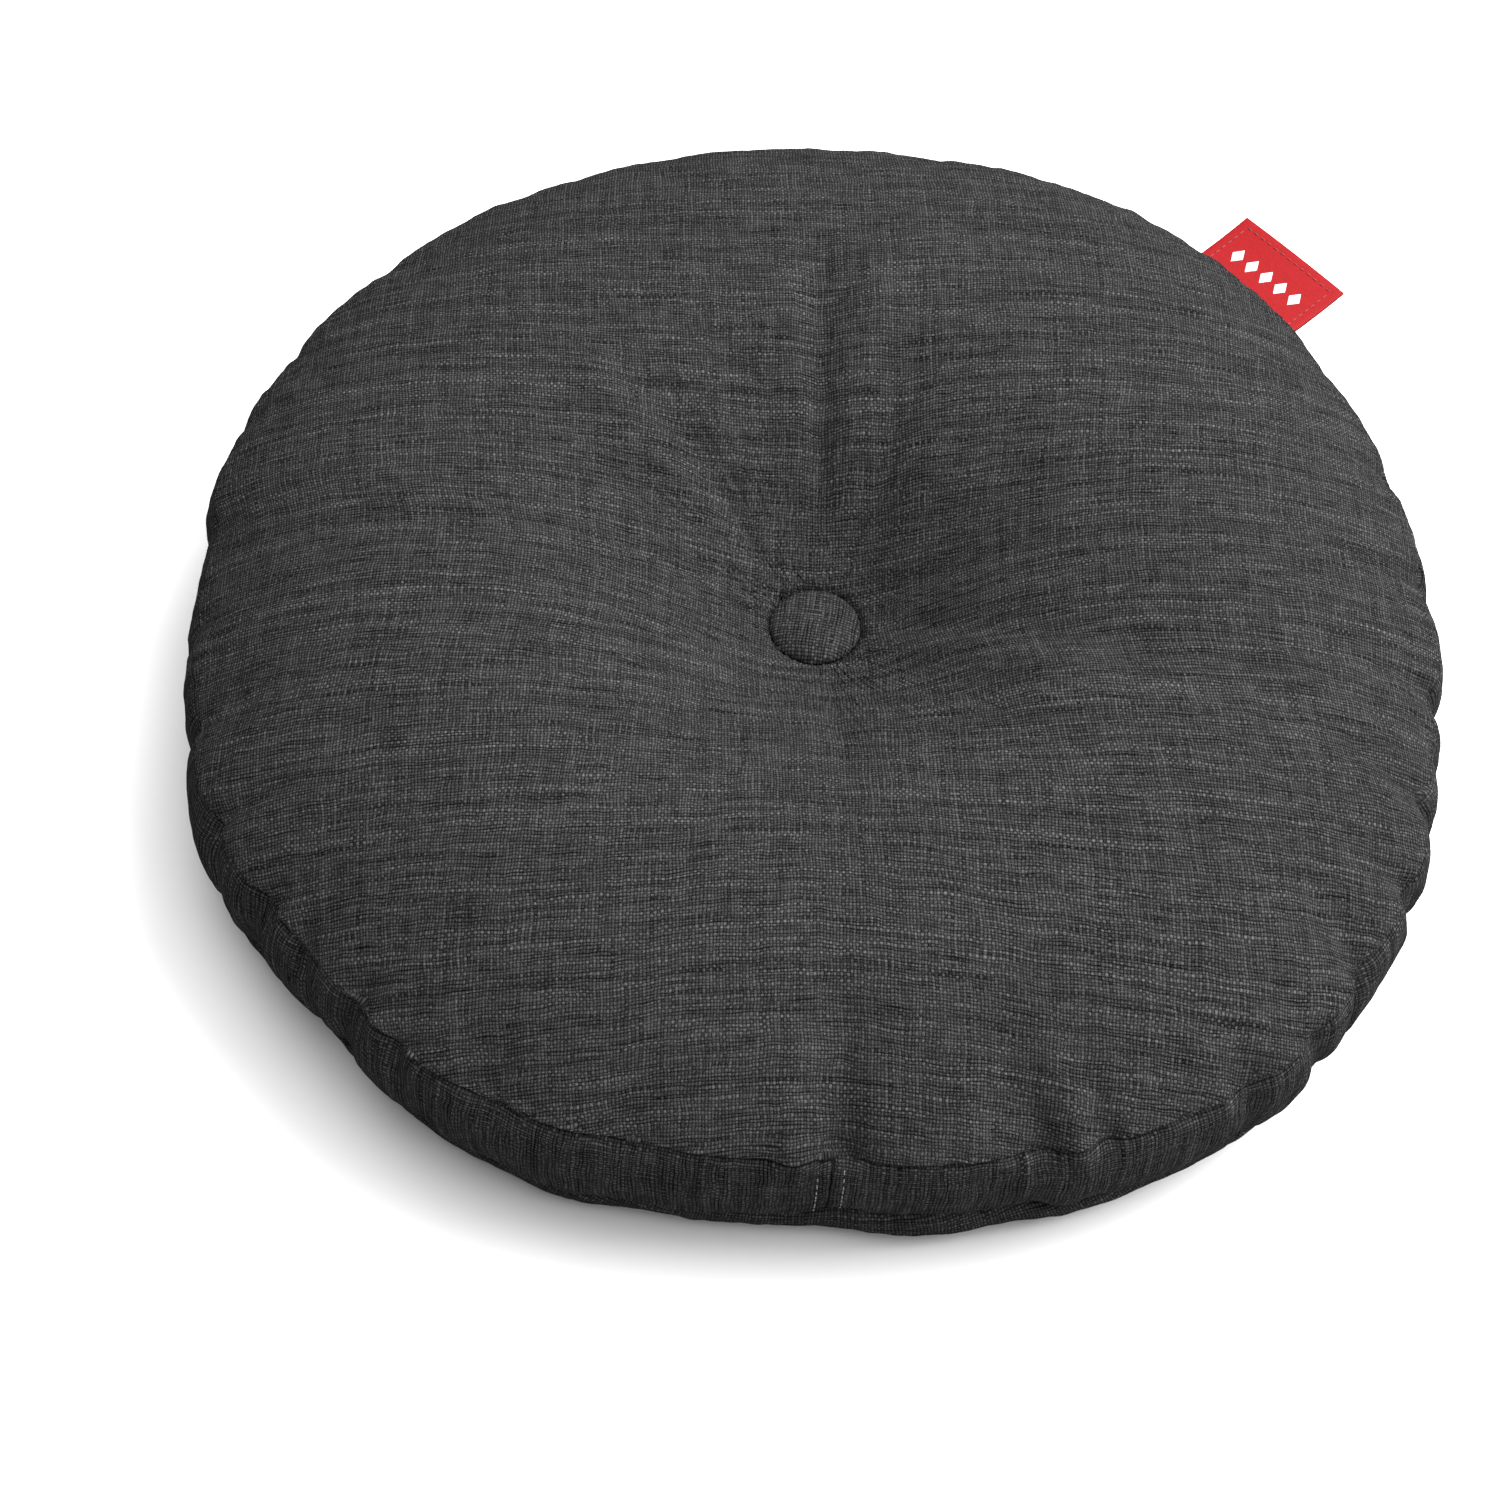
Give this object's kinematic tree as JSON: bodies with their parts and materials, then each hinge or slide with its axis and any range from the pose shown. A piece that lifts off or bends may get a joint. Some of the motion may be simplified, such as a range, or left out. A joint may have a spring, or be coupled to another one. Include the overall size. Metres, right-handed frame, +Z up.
{
  "type": "round floor cushion",
  "caption": "Round, flat box cushion with a crowned, button-tufted top, an upright side band between seams and a zip in the back of the band.",
  "frame": {"origin": "on the floor, under the middle of the cushion, on the line through both buttons", "axes": "+Z up; -Y the front, with the band's upright join; +Y the back, with the zip; +X to the right seen from the front"},
  "size_m": [0.5, 0.4986, 0.1055],
  "materials": {
    "cover_cloth": "coarse plain weave of charcoal heather yarn, matt",
    "zip_tape": "fine twill tape, black",
    "zip_coil": "nylon coil, satin black",
    "zip_metal": "black lacquered zinc",
    "dark_thread": "twisted polyester thread, black",
    "grey_thread": "twisted polyester thread, mid grey",
    "label_tape": "close woven ribbed tape, red with white motif",
    "label_thread": "twisted polyester thread, dark red",
    "button_metal": "pressed, plain",
    "twine": "waxed polyester twine",
    "lining": "bonded non-woven, off white",
    "fibre": "loose crimped polyester fibre"
  },
  "bodies": {
    "cushion": {"top_panel": "cover_cloth", "bottom_panel": "cover_cloth", "band_left": "cover_cloth", "band_right": "cover_cloth", "zip_strip_upper": "cover_cloth", "zip_strip_lower": "cover_cloth", "zip_tape_upper": "zip_tape", "zip_tape_lower": "zip_tape", "zip_coil_upper": "zip_coil", "zip_coil_lower": "zip_coil", "zip_closed_stop": "zip_metal", "zip_open_stop": "zip_metal", "zip_topstitching": "dark_thread", "band_join_topstitching": "grey_thread", "top_seam_thread": "dark_thread", "bottom_seam_thread": "dark_thread", "woven_label": "label_tape", "label_stitching": "label_thread", "top_button_cover": "cover_cloth", "top_button_shell": "button_metal", "top_button_back": "button_metal", "top_button_loop": "button_metal", "bottom_button_cover": "cover_cloth", "bottom_button_shell": "button_metal", "bottom_button_back": "button_metal", "bottom_button_loop": "button_metal", "tufting_twine": "twine", "liner_top": "lining", "liner_bottom": "lining", "liner_band": "lining", "fibre_fill": "fibre"},
    "zip_slider": {"zip_slider": "zip_metal"},
    "zip_pull": {"zip_pull": "zip_metal"}
  },
  "joints": [
    {"name": "slider_travel", "type": "hinge", "parent": "cushion", "child": "zip_slider", "pos_m": [0, 0, 0.049], "axis": [0, 0, -1], "range_deg": [0, 90]},
    {"name": "pull_swing", "type": "hinge", "parent": "zip_slider", "child": "zip_pull", "pos_m": [-0.17773, 0.17611, 0.049], "axis": [0, 0, 1], "range_deg": [0, 140]}
  ]
}
